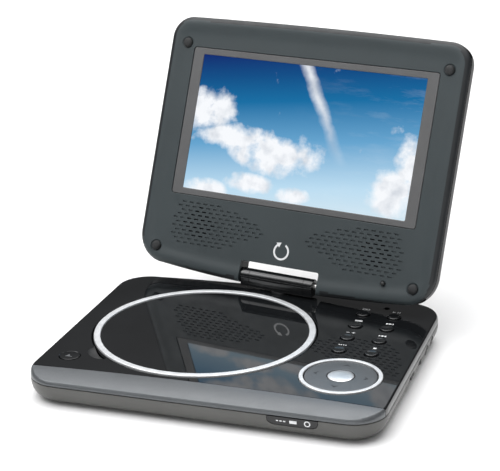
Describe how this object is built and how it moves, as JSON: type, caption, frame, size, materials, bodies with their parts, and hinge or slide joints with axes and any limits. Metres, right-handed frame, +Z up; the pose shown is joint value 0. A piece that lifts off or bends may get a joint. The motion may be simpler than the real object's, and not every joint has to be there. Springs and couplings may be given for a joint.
{
  "type": "portable dvd player",
  "caption": "Portable DVD player: flat base with a round disc door and keys, and a wide screen in a lid that tilts and swivels on a hinge at the back.",
  "frame": {"origin": "centre of the flat underside of the base; the rubber feet stand 1.2 mm below it", "axes": "+Z up, +Y towards the hinge at the back, +X to the right of a viewer who faces the keys"},
  "size_m": [0.214, 0.2378, 0.1742],
  "materials": {
    "piano_black": "gloss",
    "slate": "fine matt texture",
    "satin_grey": "satin lacquer",
    "warm_grey": "satin",
    "silver": "satin",
    "border_grey": "satin",
    "pad_grey": "satin",
    "screen": "gloss",
    "rubber": "matt",
    "steel": "brushed",
    "board": "satin",
    "black_plastic": "satin",
    "smoked": "gloss",
    "cell": "satin",
    "gear_white": "satin"
  },
  "bodies": {
    "base": {"lower_shell": "warm_grey", "battery_cover": "warm_grey", "indicator_window": "smoked", "top_deck": "piano_black", "front_strip": "satin_grey", "foot_front_left": "rubber", "foot_front_right": "rubber", "foot_rear_left": "rubber", "foot_rear_right": "rubber", "nav_ring": "silver", "key_board": "board", "drive_chassis": "steel", "spindle_motor": "steel", "sled_motor": "steel", "guide_rod_front": "steel", "guide_rod_rear": "steel", "battery_pack": "cell", "main_board": "board", "dc_jack": "black_plastic", "headphone_jack": "black_plastic", "av_jack": "black_plastic"},
    "swivel": {"swivel_column": "black_plastic", "swivel_clip": "steel", "hinge_block": "piano_black"},
    "lid": {"lid_bezel": "slate", "lid_back": "piano_black", "screen_surround": "border_grey", "lcd_panel": "screen", "lid_board": "board", "speaker_left": "black_plastic", "speaker_right": "black_plastic", "hinge_arm_left": "steel", "hinge_arm_right": "steel", "lid_peg": "black_plastic", "bumper_top_left": "rubber", "bumper_top_right": "rubber", "bumper_bottom_left": "rubber", "bumper_bottom_right": "rubber"},
    "disc_door": {"disc_lid": "piano_black", "disc_ring": "silver"},
    "open_button": {"open_button": "piano_black"},
    "latch": {"latch_slider": "black_plastic"},
    "hub": {"disc_hub": "black_plastic"},
    "pickup": {"pickup": "black_plastic"},
    "sled_gear": {"sled_gear": "gear_white"},
    "key_1": {"key_1": "piano_black"},
    "key_2": {"key_2": "piano_black"},
    "key_3": {"key_3": "piano_black"},
    "key_4": {"key_4": "piano_black"},
    "key_5": {"key_5": "piano_black"},
    "key_6": {"key_6": "piano_black"},
    "key_7": {"key_7": "piano_black"},
    "key_8": {"key_8": "piano_black"},
    "nav_gimbal": {"nav_gimbal": "black_plastic"},
    "nav_pad": {"nav_pad": "pad_grey"},
    "ok_button": {"ok_button": "silver"},
    "volume_wheel": {"volume_wheel": "black_plastic"},
    "power_switch": {"power_switch": "black_plastic"}
  },
  "joints": [
    {"name": "swivel_turn", "type": "hinge", "parent": "base", "child": "swivel", "pos_m": [0, 0.0754, 0.0175], "axis": [0, 0, -1], "range_deg": [-10.2, 169.8]},
    {"name": "screen_tilt", "type": "hinge", "parent": "swivel", "child": "lid", "pos_m": [0, 0.0754, 0.0235], "axis": [0.9842, -0.1771, 0], "range_deg": [-68.5, 111.5]},
    {"name": "disc_door_hinge", "type": "hinge", "parent": "base", "child": "disc_door", "pos_m": [-0.0241, 0.0636, 0.0147], "axis": [1, 0, 0], "range_deg": [-50, 0]},
    {"name": "open_press", "type": "slide", "parent": "base", "child": "open_button", "axis": [0, 0, -1], "range_m": [0, 0.001], "stiffness_N_per_m": 300},
    {"name": "latch_slide", "type": "slide", "parent": "base", "child": "latch", "axis": [-0.7431, -0.6691, 0], "range_m": [0, 0.001]},
    {"name": "hub_spin", "type": "hinge", "parent": "base", "child": "hub", "pos_m": [-0.0241, 0.0031, 0.01], "axis": [0, 0, 1], "continuous": true},
    {"name": "pickup_travel", "type": "slide", "parent": "base", "child": "pickup", "axis": [1, 0, 0], "range_m": [-0.006, 0.028]},
    {"name": "sled_gear_turn", "type": "hinge", "parent": "base", "child": "sled_gear", "pos_m": [0.0069, 0.0305, 0.007], "axis": [0, 0, 1], "range_deg": [-73, 336]},
    {"name": "key_1_press", "type": "slide", "parent": "base", "child": "key_1", "axis": [0, 0, -1], "range_m": [0, 0.0006], "stiffness_N_per_m": 300},
    {"name": "key_2_press", "type": "slide", "parent": "base", "child": "key_2", "axis": [0, 0, -1], "range_m": [0, 0.0006], "stiffness_N_per_m": 300},
    {"name": "key_3_press", "type": "slide", "parent": "base", "child": "key_3", "axis": [0, 0, -1], "range_m": [0, 0.0006], "stiffness_N_per_m": 300},
    {"name": "key_4_press", "type": "slide", "parent": "base", "child": "key_4", "axis": [0, 0, -1], "range_m": [0, 0.0006], "stiffness_N_per_m": 300},
    {"name": "key_5_press", "type": "slide", "parent": "base", "child": "key_5", "axis": [0, 0, -1], "range_m": [0, 0.0006], "stiffness_N_per_m": 300},
    {"name": "key_6_press", "type": "slide", "parent": "base", "child": "key_6", "axis": [0, 0, -1], "range_m": [0, 0.0006], "stiffness_N_per_m": 300},
    {"name": "key_7_press", "type": "slide", "parent": "base", "child": "key_7", "axis": [0, 0, -1], "range_m": [0, 0.0006], "stiffness_N_per_m": 300},
    {"name": "key_8_press", "type": "slide", "parent": "base", "child": "key_8", "axis": [0, 0, -1], "range_m": [0, 0.0006], "stiffness_N_per_m": 300},
    {"name": "nav_rock_front_back", "type": "hinge", "parent": "base", "child": "nav_gimbal", "pos_m": [0.0692, -0.0369, 0.013], "axis": [1, 0, 0], "range_deg": [-2, 2], "stiffness_Nm_per_rad": 0.3},
    {"name": "nav_rock_left_right", "type": "hinge", "parent": "nav_gimbal", "child": "nav_pad", "pos_m": [0.0692, -0.0369, 0.013], "axis": [0, 1, 0], "range_deg": [-2, 2], "stiffness_Nm_per_rad": 0.3},
    {"name": "ok_press", "type": "slide", "parent": "base", "child": "ok_button", "axis": [0, 0, -1], "range_m": [0, 0.0005], "stiffness_N_per_m": 300},
    {"name": "volume_turn", "type": "hinge", "parent": "base", "child": "volume_wheel", "pos_m": [0.095, 0.014, 0.007], "axis": [0, 0, 1], "range_deg": [-135, 135]},
    {"name": "power_slide", "type": "slide", "parent": "base", "child": "power_switch", "axis": [0, 1, 0], "range_m": [-0.003, 0]}
  ],
  "couplings": [
    {"joint": "latch_slide", "follows": "open_press", "ratio": 1},
    {"joint": "sled_gear_turn", "follows": "pickup_travel", "rad_per_m": 208.33}
  ]
}
